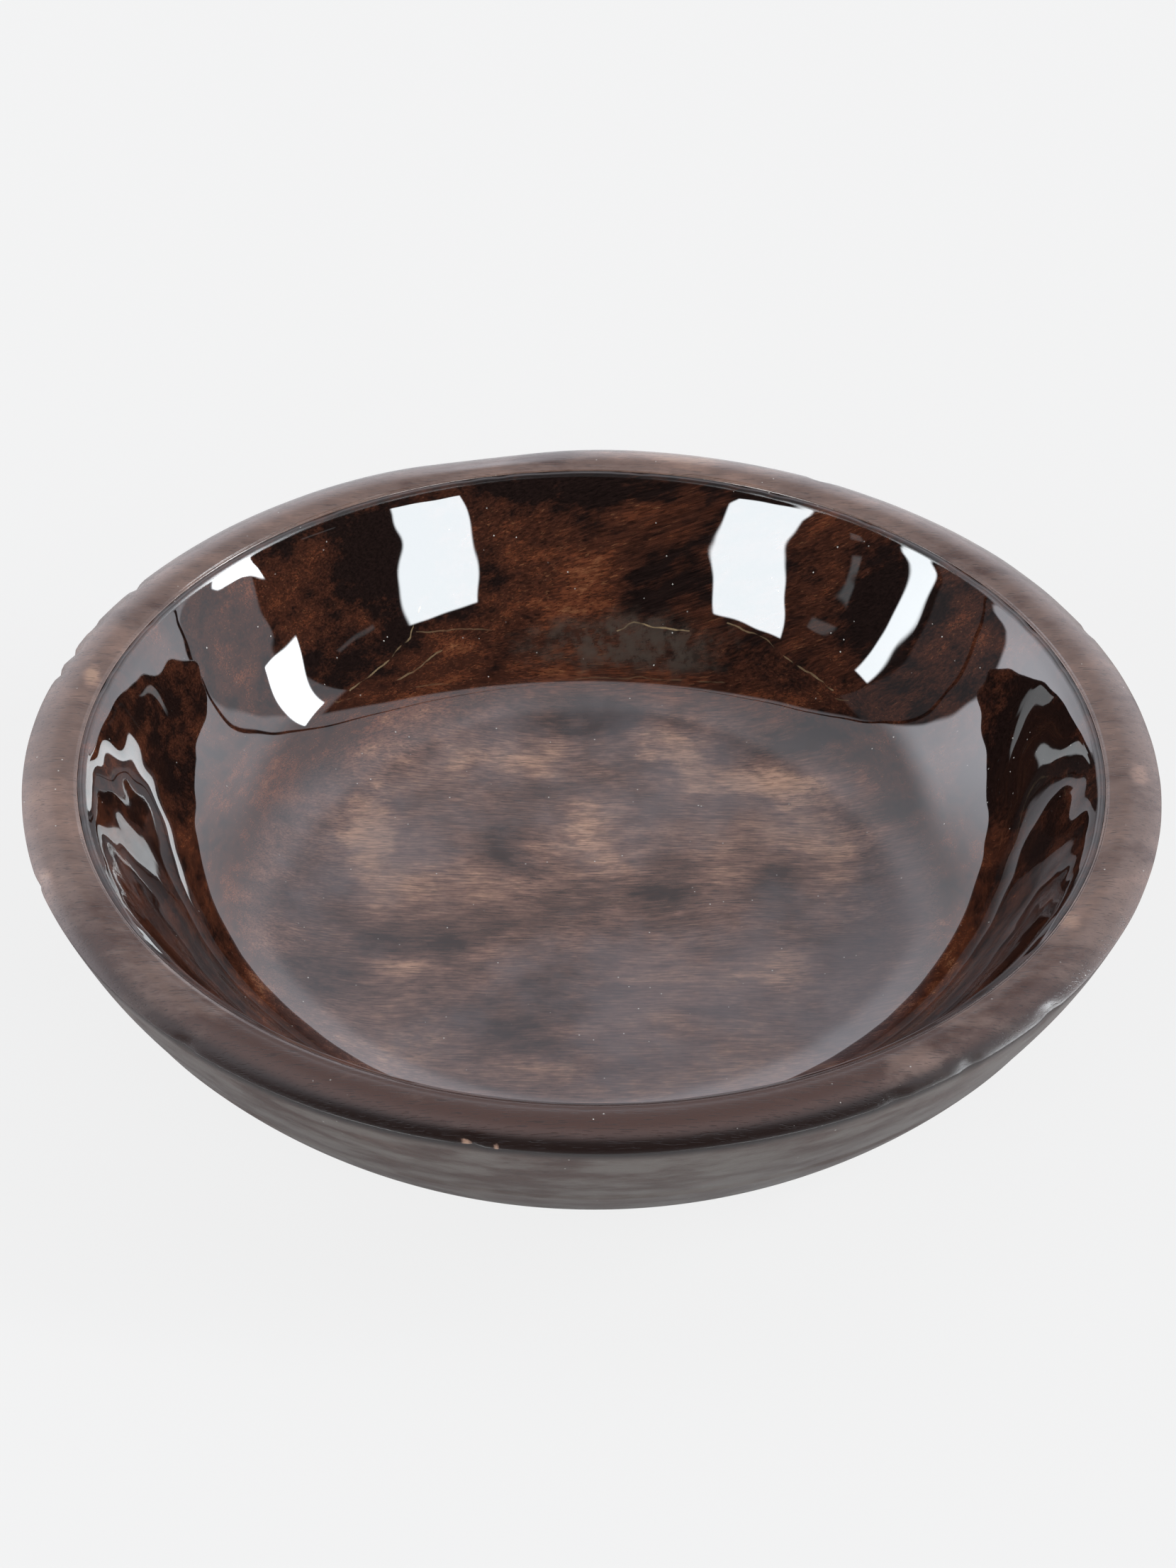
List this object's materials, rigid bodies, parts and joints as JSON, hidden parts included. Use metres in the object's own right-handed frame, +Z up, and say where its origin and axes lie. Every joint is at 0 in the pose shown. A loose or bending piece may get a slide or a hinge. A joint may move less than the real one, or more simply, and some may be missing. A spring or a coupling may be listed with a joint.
{
  "type": "wooden bowl",
  "caption": "Shallow round turned wooden bowl with a thick rounded rim, a flared wall, a flat foot and a glossy clear lining inside; holds fruit, bread or keys.",
  "frame": {"origin": "centre of the foot, on the surface that the bowl stands on", "axes": "+Z up along the turning axis, +X along the wood's grain"},
  "size_m": [0.3, 0.3, 0.065],
  "materials": {
    "stained_wood": "dark brown stain under a satin lacquer",
    "clear_lining": "clear, hard, mirror-gloss poured coat"
  },
  "bodies": {
    "root": {"turned_bowl": "stained_wood", "clear_lining": "clear_lining"}
  },
  "joints": []
}
